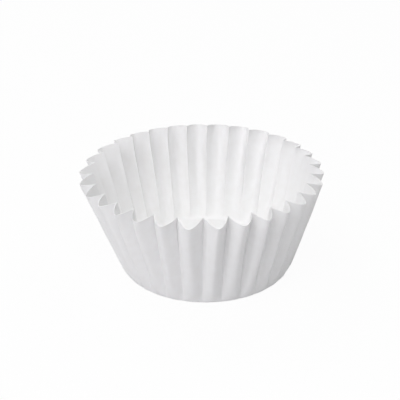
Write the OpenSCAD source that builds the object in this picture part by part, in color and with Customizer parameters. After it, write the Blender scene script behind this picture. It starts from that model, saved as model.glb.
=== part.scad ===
// Fluted paper cupcake liner: one round of greaseproof paper, pressed into a cup.
// The flat bottom stands on the plane Z = 0, with the origin under the middle of the rim.

/* [Cup] */
// Diameter of the flat bottom, measured at the edge where the wall starts
bottom_d = 50; // [36:1:66]
// Length of the paper from the bottom's turned edge to the rim
wall_length = 29.6; // [18:0.1:36]
// Lean of the wall outwards from upright, in degrees
wall_lean = 15.4; // [6:0.1:24]
// Radius of the rounded turn between bottom and wall
turn_radius = 1.2; // [0.6:0.1:2.5]
// Thickness of the paper
paper = 0.1; // [0.06:0.01:0.3]

/* [Flutes] */
// Number of flutes round the wall
flutes = 30; // [24:1:34]
// Depth of a flute against that of a sharp zigzag of the same paper
roundness = 0.84; // [0.6:0.01:1]
// Length of paper above the flat bottom in which the flutes reach their depth
rise_length = 3; // [0.5:0.1:6]
// How broad the outer crests are against the sharp inner valleys
crest_breadth = 1.7; // [1.2:0.1:2.5]
// Angle of the first crest from the back, in degrees
first_crest_angle = 32.4; // [0:0.1:60]

/* [Settling of the soft paper] */
// Furthest that a flute strays from its even place round the rim, in degrees
stray_angle = 4.8; // [0:0.1:6]
// Sideways shift of the bottom against the rim
bottom_shift = 1.2; // [0:0.1:3]

/* [Smoothness] */
// Points along one flute
flute_points = 10; // [6:2:10]
// Steps round the turned edge
turn_steps = 3; // [2:1:4]
// Steps up the wall
wall_steps = 5; // [3:1:6]

/* [Hidden] */

around = flutes * flute_points;
rings = turn_steps + wall_steps;
turn_angle = 90 - wall_lean;
flat_r = bottom_d / 2 - turn_radius;
turn_length = turn_radius * turn_angle * PI / 180;
quick_start = 1.5; // the wall's rings lie closer together where the flutes rise fastest

// Share of the wall's paper below ring i
function wall_share(i) = pow(max(i - turn_steps, 0) / wall_steps, quick_start);

// Length of paper from the flat bottom's edge to ring i
function paper_run(i) =
    i <= turn_steps ? turn_length * i / turn_steps
    : turn_length + wall_length * wall_share(i);

// Mean radius of ring i, half way between crests and valleys
function mean_r(i) =
    i <= turn_steps ? flat_r + turn_radius * sin(turn_angle * i / turn_steps)
    : mean_r(turn_steps) + wall_length * wall_share(i) * sin(wall_lean);

// The flat round can't stretch, so its spare width at each ring goes into the depth of the flutes
function fullness(i) = (flat_r + paper_run(i)) / mean_r(i);
function flute_depth(i) =
    roundness * rise(i) * PI * mean_r(i) / flutes * sqrt(pow(fullness(i), 2) - 1);

// The flutes die out smoothly towards the flat bottom
function rise(i) = let (t = min(paper_run(i) / rise_length, 1)) t * t * (3 - 2 * t);

// Place across a flute: 0.5 on the outer crest, -0.5 on the inner valley
function from_crest(j) = 1 - abs(1 - 2 * (j % flute_points) / flute_points);
function wave(j) = 0.5 - pow(from_crest(j), crest_breadth);
function line_r(i, w) = mean_r(i) + w * flute_depth(i);

// Each line up the wall has the same length of paper, so crests end lower than valleys
function line_z(i, w) =
    i <= turn_steps ? turn_radius * (1 - cos(turn_angle * i / turn_steps))
    : line_z(i - 1, w) + sqrt(pow(paper_run(i) - paper_run(i - 1), 2)
        - pow(line_r(i, w) - line_r(i - 1, w), 2));

// Angle of point j round the wall, clockwise from the back, with the flutes a little uneven
function even_angle(j) = first_crest_angle + 360 * j / around;
function angle(j) =
    let (a = even_angle(j))
    a + stray_angle * (0.6 * cos(a - 39) + 0.05 * cos(2 * a + 130)
        + 0.17 * cos(3 * a + 152) + 0.18 * cos(4 * a - 126));

// Point j of ring i on the middle of the paper
function mid(i, j) =
    let (w = wave(j), r = line_r(i, w) + bottom_shift * (1 - wall_share(i)) * sin(angle(j)))
    [r * sin(angle(j)), r * cos(angle(j)), line_z(i, w)];

mids = [for (i = [0 : rings]) [for (j = [0 : around - 1]) mid(i, j)]];

// Direction out of the paper at a point, across its neighbours
function out_of(i, j) =
    let (
        up = mids[min(i + 1, rings)][j] - mids[max(i - 1, 0)][j],
        along = mids[i][(j + 1) % around] - mids[i][(j + around - 1) % around],
        n = cross(up, along)
    )
    i == 0 ? [0, 0, -1] : n / norm(n);

// One face of the paper, half a thickness to the given side of its middle
function skin(side) = [
    for (i = [0 : rings]) for (j = [0 : around - 1])
        mids[i][j] + side * paper / 2 * out_of(i, j) + [0, 0, paper / 2]
];

// Outline of the cup as one closed sheet: outer skin, inner skin, then the two middles of the bottom
module liner() {
    outer = skin(1);
    inner = skin(-1);
    count = len(outer);
    middles = [[bottom_shift, 0, 0], [bottom_shift, 0, paper]];
    color("white")
        polyhedron(
            points = concat(outer, inner, middles),
            faces = concat(
                [for (i = [0 : rings - 1]) for (j = [0 : around - 1]) each
                    band(i * around + j, i * around + (j + 1) % around, around)],
                [for (i = [0 : rings - 1]) for (j = [0 : around - 1]) each
                    band(count + i * around + (j + 1) % around, count + i * around + j, around)],
                [for (j = [0 : around - 1]) each
                    band(rings * around + j, rings * around + (j + 1) % around, count)],
                [for (j = [0 : around - 1]) [(j + 1) % around, j, 2 * count]],
                [for (j = [0 : around - 1]) [count + j, count + (j + 1) % around, 2 * count + 1]]
            )
        );
}

// Two triangles from points a and b to those that lie a stride further on
function band(a, b, stride) = [[a, b, b + stride], [a, b + stride, a + stride]];

liner();
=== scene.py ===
from math import cos, pi, radians, sin

import bpy
from mathutils import Matrix, Vector


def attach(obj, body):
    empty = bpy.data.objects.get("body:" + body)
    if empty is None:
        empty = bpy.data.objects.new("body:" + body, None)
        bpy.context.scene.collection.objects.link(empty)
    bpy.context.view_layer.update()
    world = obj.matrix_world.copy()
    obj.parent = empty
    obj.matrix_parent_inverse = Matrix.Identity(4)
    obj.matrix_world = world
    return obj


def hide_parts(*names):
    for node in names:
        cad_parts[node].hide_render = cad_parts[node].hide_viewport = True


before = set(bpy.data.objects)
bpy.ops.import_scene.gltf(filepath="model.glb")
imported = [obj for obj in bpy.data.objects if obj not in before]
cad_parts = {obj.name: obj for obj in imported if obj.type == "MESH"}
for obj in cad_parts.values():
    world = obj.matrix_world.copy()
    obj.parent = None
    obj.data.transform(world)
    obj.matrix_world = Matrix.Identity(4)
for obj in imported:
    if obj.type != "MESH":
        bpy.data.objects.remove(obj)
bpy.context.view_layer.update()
mm = 0.001
print("frame loaded:", list(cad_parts))


class Wire:
    # one socket, with Python's operators as Math nodes
    def __init__(self, tree, socket):
        self.tree = tree
        self.socket = socket

    def math(self, operation, *others):
        inputs = dict(enumerate((self, *others)))
        return self.tree.add("ShaderNodeMath", {"operation": operation}, inputs).out()

    def __add__(self, other): return self.math("ADD", other)
    def __radd__(self, other): return self.math("ADD", other)
    def __sub__(self, other): return self.math("SUBTRACT", other)
    def __rsub__(self, other): return self.tree.value(other).math("SUBTRACT", self)
    def __mul__(self, other): return self.math("MULTIPLY", other)
    def __rmul__(self, other): return self.math("MULTIPLY", other)
    def __truediv__(self, other): return self.math("DIVIDE", other)
    def __rtruediv__(self, other): return self.tree.value(other).math("DIVIDE", self)
    def __pow__(self, other): return self.math("POWER", other)
    def __gt__(self, other): return self.math("GREATER_THAN", other)
    def __abs__(self): return self.math("ABSOLUTE")
    def floor(self): return self.math("FLOOR")
    def sin(self): return self.math("SINE")
    def cos(self): return self.math("COSINE")
    def sqrt(self): return self.math("SQRT")
    def least(self, other): return self.math("MAXIMUM", other)  # not under other
    def most(self, other): return self.math("MINIMUM", other)  # not over other


class Step:
    # one node that Tree.add made
    def __init__(self, tree, node):
        self.tree = tree
        self.node = node

    def out(self, name=0):
        return Wire(self.tree, self.node.outputs[name])


class Tree:
    # a node tree of any kind
    def __init__(self, nodeTree):
        self.nodeTree = nodeTree

    def add(self, kind, settings=None, inputs=None):
        node = self.nodeTree.nodes.new(kind)
        count = len(self.nodeTree.nodes)
        node.location = (170 * (count % 12), -190 * (count // 12))  # in rows of twelve
        for name, value in (settings or {}).items():
            setattr(node, name, value)
        for name, value in (inputs or {}).items():
            socket = node.inputs[name]
            if isinstance(value, Step):
                value = value.out()
            if isinstance(value, Wire):
                self.nodeTree.links.new(value.socket, socket)
            else:
                socket.default_value = value
        return Step(self, node)

    def value(self, number):
        made = self.add("ShaderNodeValue")
        made.node.outputs[0].default_value = number
        return made.out()


cup = {  # sizes in millimetres, angles in degrees
    "bottomDiameter": 50.0,
    "wallLength": 29.6,
    "wallLean": 15.4,
    "turnRadius": 1.2,
    "paperThickness": 0.1,
    "flutes": 30,
    "roundness": 0.84,  # depth of a flute against that of a sharp zigzag of the same paper
    "crestBreadth": 1.7,
    "riseLength": 3.0,  # paper above the flat bottom in which the flutes reach their depth
    "firstCrest": 32.4,
    "stray": 4.8,  # furthest that a flute strays from its even place
    "strayWaves": (  # waves round the cup, share, start
        (1, 0.60, -39),
        (2, 0.05, 130),
        (3, 0.17, 152),
        (4, 0.18, -126),
    ),
    "bottomShift": 1.2,
    "depthUneven": 0.10,  # how much the depth differs from flute to flute
    "breadthUneven": 0.25,  # how much the crests' breadth differs
    "angleUneven": 0.5,  # how far a flute wanders by itself
    "ripple": 0.07,  # small dents along the flutes
    "swayShare": 1.5,  # sideways bends along the flutes, against the dents
    "rimBend": 1.75,  # how far the flutes bend sideways near the rim
    "rimBendWaves": ((1, 0.5, 0), (2, 0.25, 90)),
    "rimBendRise": 6,  # a higher power keeps the bend closer to the rim
    # chance patterns: noise units to a flute, noise units up the wall, place in the noise
    "depthChance": (1.0, 0.6, 0.0),
    "angleChance": (0.8, 0.8, 17.0),
    "breadthChance": (1.0, 0.5, 43.0),
    "rippleChance": (2.2, 5.0, 29.0),
    "swayChance": (0.9, 4.0, 61.0),
    "pointsPerFlute": 22,
    "bottomRows": 6,
    "turnRows": 6,
    "wallRows": 40,
    "mergeDistance": 0.002,
    "sharpAngle": 50.0,  # an edge that turns further is shaded sharp
    "seed": 3.0,
}


def cupTree(settings, material):
    tree = bpy.data.node_groups.new("flutedCup", "GeometryNodeTree")
    inputs = {
        "Flutes": settings["flutes"],
        "Bottom Radius": settings["bottomDiameter"] / 2 * mm,
        "Turn Radius": settings["turnRadius"] * mm,
        "Wall Length": settings["wallLength"] * mm,
        "Wall Lean": radians(settings["wallLean"]),
        "Roundness": settings["roundness"],
        "Crest Breadth": settings["crestBreadth"],
        "Rise Length": settings["riseLength"] * mm,
        "First Crest": radians(settings["firstCrest"]),
        "Stray": radians(settings["stray"]),
        "Bottom Shift": settings["bottomShift"] * mm,
        "Paper Thickness": settings["paperThickness"] * mm,
        "Depth Uneven": settings["depthUneven"],
        "Breadth Uneven": settings["breadthUneven"],
        "Ripple": settings["ripple"] * mm,
        "Angle Uneven": radians(settings["angleUneven"]),
        "Rim Bend": radians(settings["rimBend"]),
        "Points Per Flute": settings["pointsPerFlute"],
        "Bottom Rows": settings["bottomRows"],
        "Turn Rows": settings["turnRows"],
        "Wall Rows": settings["wallRows"],
        "Merge Distance": settings["mergeDistance"] * mm,
        "Seed": settings["seed"],
    }
    for name, value in inputs.items():
        kind = "NodeSocketInt" if isinstance(value, int) else "NodeSocketFloat"
        tree.interface.new_socket(name, in_out="INPUT", socket_type=kind)
    tree.interface.new_socket("Geometry", in_out="OUTPUT", socket_type="NodeSocketGeometry")
    make = Tree(tree)
    given = make.add("NodeGroupInput")
    flutes, bottomRadius, turn, wallLength, lean = (given.out(n) for n in list(inputs)[:5])
    bottomRows, turnRows, wallRows = (given.out(n) for n in ("Bottom Rows", "Turn Rows", "Wall Rows"))

    # a flat grid: columns go round the cup, rows go from the paper's middle to the rim
    rows = bottomRows + turnRows + wallRows
    around = flutes * given.out("Points Per Flute")
    grid = make.add("GeometryNodeMeshGrid", None, {"Vertices X": around + 1, "Vertices Y": rows + 1})
    index = make.add("GeometryNodeInputIndex").out()
    column = ((index + 0.5) / (rows + 1)).floor()
    row = index - column * (rows + 1)

    def stretch(value, low, high, size, kind="LINEAR"):  # 0 at low and size at high, level past them
        return make.add("ShaderNodeMapRange", {"interpolation_type": kind}, {
            "Value": value, "From Min": low, "From Max": high, "To Min": 0.0, "To Max": size}).out()

    # distance along the paper from its middle
    flatRadius = bottomRadius - turn
    turnAngle = pi / 2 - lean
    turnLength = turn * turnAngle
    run = (stretch(row, 0.0, bottomRows, flatRadius)
           + stretch(row, bottomRows, bottomRows + turnRows, turnLength)
           + stretch(row, bottomRows + turnRows, rows, wallLength))
    turnRun = (run - flatRadius).least(0).most(turnLength)
    wallRun = (run - flatRadius - turnLength).least(0)
    wallShare = wallRun / wallLength
    meanRadius = run.most(flatRadius) + turn * (turnRun / turn).sin() + wallRun * lean.sin()

    # the spare width of the flat round goes into the depth of the flutes
    fullness = run / meanRadius
    zigzag = (fullness * fullness - 1).least(0).sqrt()
    depth = given.out("Roundness") * pi * meanRadius / flutes * zigzag
    riseEnd = flatRadius + given.out("Rise Length")
    depth = depth * stretch(run, flatRadius, riseEnd, 1.0, "SMOOTHSTEP")

    # the flutes aren't evenly spread round the cup
    place = column / given.out("Points Per Flute")
    evenAngle = given.out("First Crest") + place * 2 * pi / flutes

    def waves(terms):
        total = 0
        for turns, share, start in terms:
            total = (evenAngle * turns + radians(start)).cos() * share + total
        return total

    stray = given.out("Stray") * waves(settings["strayWaves"])
    rise = wallShare ** settings["rimBendRise"]
    rimBend = given.out("Rim Bend") * waves(settings["rimBendWaves"]) * rise

    perFlute = settings["flutes"] / (2 * pi)  # makes neighbouring flutes one unit of noise apart

    def chance(pattern):  # smooth noise that closes on itself round the cup, mostly -1 to 1
        toFlute, upWall, shift = settings[pattern]
        scale = perFlute * toFlute
        spot = make.add("ShaderNodeCombineXYZ", None, {
            "X": evenAngle.cos() * scale + shift,
            "Y": evenAngle.sin() * scale,
            "Z": wallShare * upWall})
        noise = make.add("ShaderNodeTexNoise", {"noise_dimensions": "4D"}, {
            "Vector": spot, "W": given.out("Seed"), "Scale": 1.0, "Detail": 0.0})
        return noise.out() * 4 - 2

    deeper = chance("depthChance") * given.out("Depth Uneven") + 1
    breadth = given.out("Crest Breadth") + chance("breadthChance") * given.out("Breadth Uneven")
    ripple = chance("rippleChance") * given.out("Ripple") * wallShare.sqrt()
    sway = chance("swayChance") * given.out("Ripple") * settings["swayShare"] * wallShare.sqrt()
    wander = chance("angleChance") * given.out("Angle Uneven")

    fromCrest = place.math("PINGPONG", 0.5) * 2  # 0 on an outer crest, 1 in an inner valley
    wave = 0.5 - fromCrest ** breadth
    radius = meanRadius + wave * depth * deeper + ripple
    angle = evenAngle + stray + rimBend + wander + sway / meanRadius.least(turn)

    # each line up the wall keeps its length of paper, so its height follows from its radius
    def below(value):
        return make.add("GeometryNodeFieldAtIndex", {"data_type": "FLOAT"}, {
            "Value": value, "Index": index - 1}).out()

    step = run - below(run)
    outward = radius - below(radius)
    climb = (step * step - outward * outward).least(0).sqrt() * (row > bottomRows + 0.5)
    height = make.add("GeometryNodeAccumulateField", {"data_type": "FLOAT"}, {
        "Value": climb, "Group Index": column}).out("Leading")

    # the bottom lies a little off the middle of the rim
    settled = (1 - wallShare) * (run / flatRadius).most(1)
    shifted = radius + given.out("Bottom Shift") * settled * angle.sin()
    spot = make.add("ShaderNodeCombineXYZ", None, {
        "X": shifted * angle.sin(),
        "Y": shifted * angle.cos(),
        "Z": height + given.out("Paper Thickness") / 2})

    # where each point lay on the flat sheet, and where it is in its fold, for the material
    flatSpot = make.add("ShaderNodeCombineXYZ", None, {
        "X": run * evenAngle.sin(), "Y": run * evenAngle.cos()})
    fold = make.add("ShaderNodeCombineXYZ", None, {"X": fromCrest, "Y": depth / mm, "Z": run / mm})
    shape = grid
    for name, value in (("flatSheet", flatSpot), ("foldPlace", fold)):
        stored = {"data_type": "FLOAT_VECTOR", "domain": "POINT"}
        shape = make.add("GeometryNodeStoreNamedAttribute", stored, {
            "Geometry": shape, "Name": name, "Value": value})
    placed = make.add("GeometryNodeSetPosition", None, {"Geometry": shape, "Position": spot})
    closed = make.add("GeometryNodeMergeByDistance", None, {
        "Geometry": placed, "Distance": given.out("Merge Distance")})
    smooth = make.add("GeometryNodeSetShadeSmooth", None, {"Geometry": closed})
    real = make.add("GeometryNodeRealizeInstances", None, {"Geometry": smooth})
    finished = make.add("GeometryNodeSetMaterial", None, {"Geometry": real, "Material": material})
    make.add("NodeGroupOutput", None, {"Geometry": finished})
    return tree, inputs


def plainMesh(source, name):
    # the evaluated object as a new object with a plain mesh
    graph = bpy.context.evaluated_depsgraph_get()
    mesh = bpy.data.meshes.new_from_object(source.evaluated_get(graph))
    mesh.name = name
    made = bpy.data.objects.new(name, mesh)
    bpy.context.scene.collection.objects.link(made)
    bpy.data.objects.remove(source)
    return made


paper = {  # sizes in millimetres, angles in radians
    "whiteTone": (0.905, 0.905, 0.905, 1.0),
    "thinTone": (0.89, 0.887, 0.883, 1.0),  # where the sheet is thin
    # painted highlight: a lighter tone for the pressed valleys, and how much of it they get
    "creaseHighlightTone": (0.92, 0.92, 0.92, 1.0),
    "creaseHighlightShare": 0.5,
    "cloudSize": 2.4,
    "cloudEdges": (0.35, 0.65),  # noise levels of thin and thick paper
    "cloudHeight": 0.0015,
    "fibreLength": 1.6,
    "fibreWidth": 0.10,
    "fibreTurns": (0.2, 0.95, 1.7, 2.6),  # the ways that the fibres lie
    "fibreSharpness": 5,
    "fibreHeight": 0.004,
    "crinkleSize": 1.4,
    "crinkleTurn": 0.5,
    "crinkleHeight": 0.02,
    "crinkleShares": (0.6, 0.8, 0.15),  # in the valleys, at the turned edge, elsewhere
    "valleyEdges": (0.80, 1.0),  # from crest to valley, where the pressed crease starts and is full
    "deepEdges": (0.3, 2.5),  # depth of the flutes where creases start and are full
    "turnStart": (21.5, 23.8),  # paper from the middle, where the turned edge's crinkles start
    "turnEnd": (25.0, 29.0),  # and where they end
    "roughness": 0.6,
    "roughnessSpread": 0.16,
    "creaseGloss": 0.1,
    "specular": 0.35,
    "seed": 11.0,
}


def paperMaterial():
    material = bpy.data.materials.new("greaseproofPaper")
    material.use_nodes = True
    material.node_tree.nodes.clear()
    make = Tree(material.node_tree)
    sheet = make.add("ShaderNodeAttribute", {"attribute_name": "flatSheet"}).out("Vector")
    fold = make.add("ShaderNodeSeparateXYZ", None, {
        0: make.add("ShaderNodeAttribute", {"attribute_name": "foldPlace"}).out("Vector")})

    def noise(length, width, turned=0.0, detail=2.0):  # a pattern on the flat sheet, 0 to 1
        laid = make.add("ShaderNodeMapping", {"vector_type": "TEXTURE"}, {
            "Vector": sheet, "Rotation": (0, 0, turned), "Scale": (length * mm, width * mm, mm)})
        return make.add("ShaderNodeTexNoise", {"noise_dimensions": "4D"}, {
            "Vector": laid, "W": paper["seed"] + turned, "Scale": 1.0, "Detail": detail}).out()

    def ramp(value, edges):
        return make.add("ShaderNodeMapRange", {"interpolation_type": "SMOOTHSTEP"}, {
            "Value": value, "From Min": edges[0], "From Max": edges[1]}).out()

    def blend(share, first, second):  # from the first colour to the second
        return make.add("ShaderNodeMix", {"data_type": "RGBA"}, {0: share, 6: first, 7: second}).out(2)

    # the sheet is cloudy, as paper held to the light
    cloud = ramp(noise(paper["cloudSize"], paper["cloudSize"], 0.0, 4.0), paper["cloudEdges"])

    # fibres lie in every direction
    fibres = 0
    for turned in paper["fibreTurns"]:
        layer = noise(paper["fibreLength"], paper["fibreWidth"], turned)
        fibres = (1 - abs(layer * 2 - 1)) ** paper["fibreSharpness"] + fibres

    # fine crinkles where the paper was pressed sharpest, in the valleys and at the turned edge
    valley = ramp(fold.out("X"), paper["valleyEdges"]) * ramp(fold.out("Y"), paper["deepEdges"])
    turnedEdge = (ramp(fold.out("Z"), paper["turnStart"])
                  * (1 - ramp(fold.out("Z"), paper["turnEnd"])))
    crinkle = noise(paper["crinkleSize"], paper["crinkleSize"], paper["crinkleTurn"], 3.0)
    inValleys, atTurn, elsewhere = paper["crinkleShares"]
    pressed = (valley * inValleys + turnedEdge * atTurn + elsewhere).most(1)

    tone = blend(cloud, paper["thinTone"], paper["whiteTone"])
    # painted highlight: the valleys are blended towards a lighter tone
    tone = blend(valley * paper["creaseHighlightShare"], tone, paper["creaseHighlightTone"])
    height = (cloud * paper["cloudHeight"] + fibres * paper["fibreHeight"]
              + crinkle * pressed * paper["crinkleHeight"])
    bump = make.add("ShaderNodeBump", None, {"Strength": 1.0, "Distance": mm, "Height": height})
    roughness = (paper["roughness"] + (cloud - 0.5) * paper["roughnessSpread"]
                 - valley * paper["creaseGloss"])
    skin = make.add("ShaderNodeBsdfPrincipled", None, {
        "Base Color": tone,
        "Roughness": roughness,
        "Specular IOR Level": paper["specular"],
        "Normal": bump})
    make.add("ShaderNodeOutputMaterial", None, {"Surface": skin})
    print("paper ready:", len(material.node_tree.nodes), "nodes")
    return material


def makeCup():
    material = paperMaterial()
    tree, inputs = cupTree(cup, material)
    source = bpy.data.objects.new("cupSource", bpy.data.meshes.new("cupSource"))
    bpy.context.scene.collection.objects.link(source)
    modifier = source.modifiers.new("flutedCup", "NODES")
    modifier.node_group = tree
    for item in tree.interface.items_tree:
        if item.item_type == "SOCKET" and item.in_out == "INPUT":
            modifier[item.identifier] = inputs[item.name]
    sheet = plainMesh(source, "cupSheet")
    thick = sheet.modifiers.new("thickness", "SOLIDIFY")
    thick.thickness = cup["paperThickness"] * mm
    thick.offset = 0.0
    thick.use_even_offset = True
    piece = plainMesh(sheet, "paperCup")
    piece.data.set_sharp_from_angle(angle=radians(cup["sharpAngle"]))
    return piece


paperCup = makeCup()
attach(paperCup, "root")
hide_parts("liner")
print("paper cup:", len(paperCup.data.polygons), "faces")


studio = {  # sizes in metres
    "floorSize": 4.0,
    "floorColour": (0.8, 0.8, 0.8, 1.0),
    "floorWhite": 0.95,  # share of the floor that is seen white, the rest keeps the cup's shadow
    "white": (1.0, 1.0, 1.0, 1.0),
    "worldStrength": 0.02,
    "lampDistance": 0.8,
    "lampSize": 0.45,
    "plain": (1.0, 1.0, 1.0),
    "cool": (0.945, 0.925, 1.0),
    "lamps": {  # degrees round from the front, degrees up, strength, tint
        "front": (0, 60, 3.65, "plain"),
        "lowFront": (5, 25, 1.4, "cool"),
        "frontLeft": (-45, 50, 3.4, "plain"),
        "lowFrontLeft": (-48, 16, 1.4, "cool"),
        "left": (-80, 48, 0.7, "cool"),
        "backLeft": (-135, 50, 4.2, "plain"),
        "backRight": (150, 50, 2.1, "plain"),
        "right": (90, 50, 2.1, "plain"),
    },
}


def seenShare(make):
    # 1 for what the camera sees, also in a reflection or through glass, and 0 for light
    path = make.add("ShaderNodeLightPath")
    seen = path.out("Is Camera Ray").least(path.out("Is Glossy Ray"))
    return seen.least(path.out("Is Transmission Ray"))


def floorMaterial():
    material = bpy.data.materials.new("whiteFloor")
    material.use_nodes = True
    material.node_tree.nodes.clear()
    make = Tree(material.node_tree)
    matt = make.add("ShaderNodeBsdfDiffuse", None, {"Color": studio["floorColour"]})
    glow = make.add("ShaderNodeEmission", None, {"Color": studio["white"], "Strength": 1.0})
    whiteShare = seenShare(make) * studio["floorWhite"]
    mixed = make.add("ShaderNodeMixShader", None, {0: whiteShare, 1: matt, 2: glow})
    make.add("ShaderNodeOutputMaterial", None, {"Surface": mixed})
    return material


def makeFloor():
    half = studio["floorSize"] / 2
    corners = [(-half, -half, 0), (half, -half, 0), (half, half, 0), (-half, half, 0)]
    mesh = bpy.data.meshes.new("floor")
    mesh.from_pydata(corners, [], [(0, 1, 2, 3)])
    mesh.materials.append(floorMaterial())
    floor = bpy.data.objects.new("floor", mesh)
    bpy.context.scene.collection.objects.link(floor)


def makeWorld():
    world = bpy.data.worlds.new("studio")
    world.use_nodes = True
    world.node_tree.nodes.clear()
    make = Tree(world.node_tree)

    def background(strength):
        return make.add("ShaderNodeBackground", None, {"Color": studio["white"], "Strength": strength})

    light, white = background(studio["worldStrength"]), background(1.0)
    mixed = make.add("ShaderNodeMixShader", None, {0: seenShare(make), 1: light, 2: white})
    make.add("ShaderNodeOutputWorld", None, {"Surface": mixed})
    bpy.context.scene.world = world


def softLamp(name, around, up, strength, tint):
    # strength is the lamp's radiance, so its power follows from its size
    data = bpy.data.lights.new(name, "AREA")
    data.shape = "DISK"
    data.size = studio["lampSize"]
    data.color = studio[tint]
    data.energy = strength * pi * pi * (data.size / 2) ** 2
    lamp = bpy.data.objects.new(name, data)
    around, up = radians(around), radians(up)
    away = Vector((sin(around) * cos(up), -cos(around) * cos(up), sin(up)))
    lamp.location = away * studio["lampDistance"]
    lamp.rotation_euler = away.to_track_quat("Z", "Y").to_euler()
    bpy.context.scene.collection.objects.link(lamp)


view = {  # millimetres and degrees
    "aim": (-0.48, 0.0, 19.41),
    "distance": 270.0,
    "elevation": 26.94,
    "roll": 0.73,
    "focal": 83.9,
    "sensor": 36.0,
    "clipStart": 10.0,
}


def makeCamera():
    camera = bpy.data.objects.new("camera", bpy.data.cameras.new("camera"))
    bpy.context.scene.collection.objects.link(camera)
    elevation = radians(view["elevation"])
    back = Vector((0, -cos(elevation), sin(elevation)))
    camera.location = Vector(view["aim"]) * mm + back * view["distance"] * mm
    level = (-back).to_track_quat("-Z", "Y").to_matrix()
    turned = level @ Matrix.Rotation(radians(-view["roll"]), 3, "Z")
    camera.rotation_euler = turned.to_euler()
    camera.data.lens = view["focal"]
    camera.data.sensor_width = view["sensor"]
    camera.data.clip_start = view["clipStart"] * mm
    bpy.context.scene.camera = camera


makeFloor()
makeWorld()
for lampName, lampPlace in studio["lamps"].items():
    softLamp(lampName, *lampPlace)
makeCamera()
bpy.context.scene.view_settings.view_transform = "Standard"
print("studio ready")
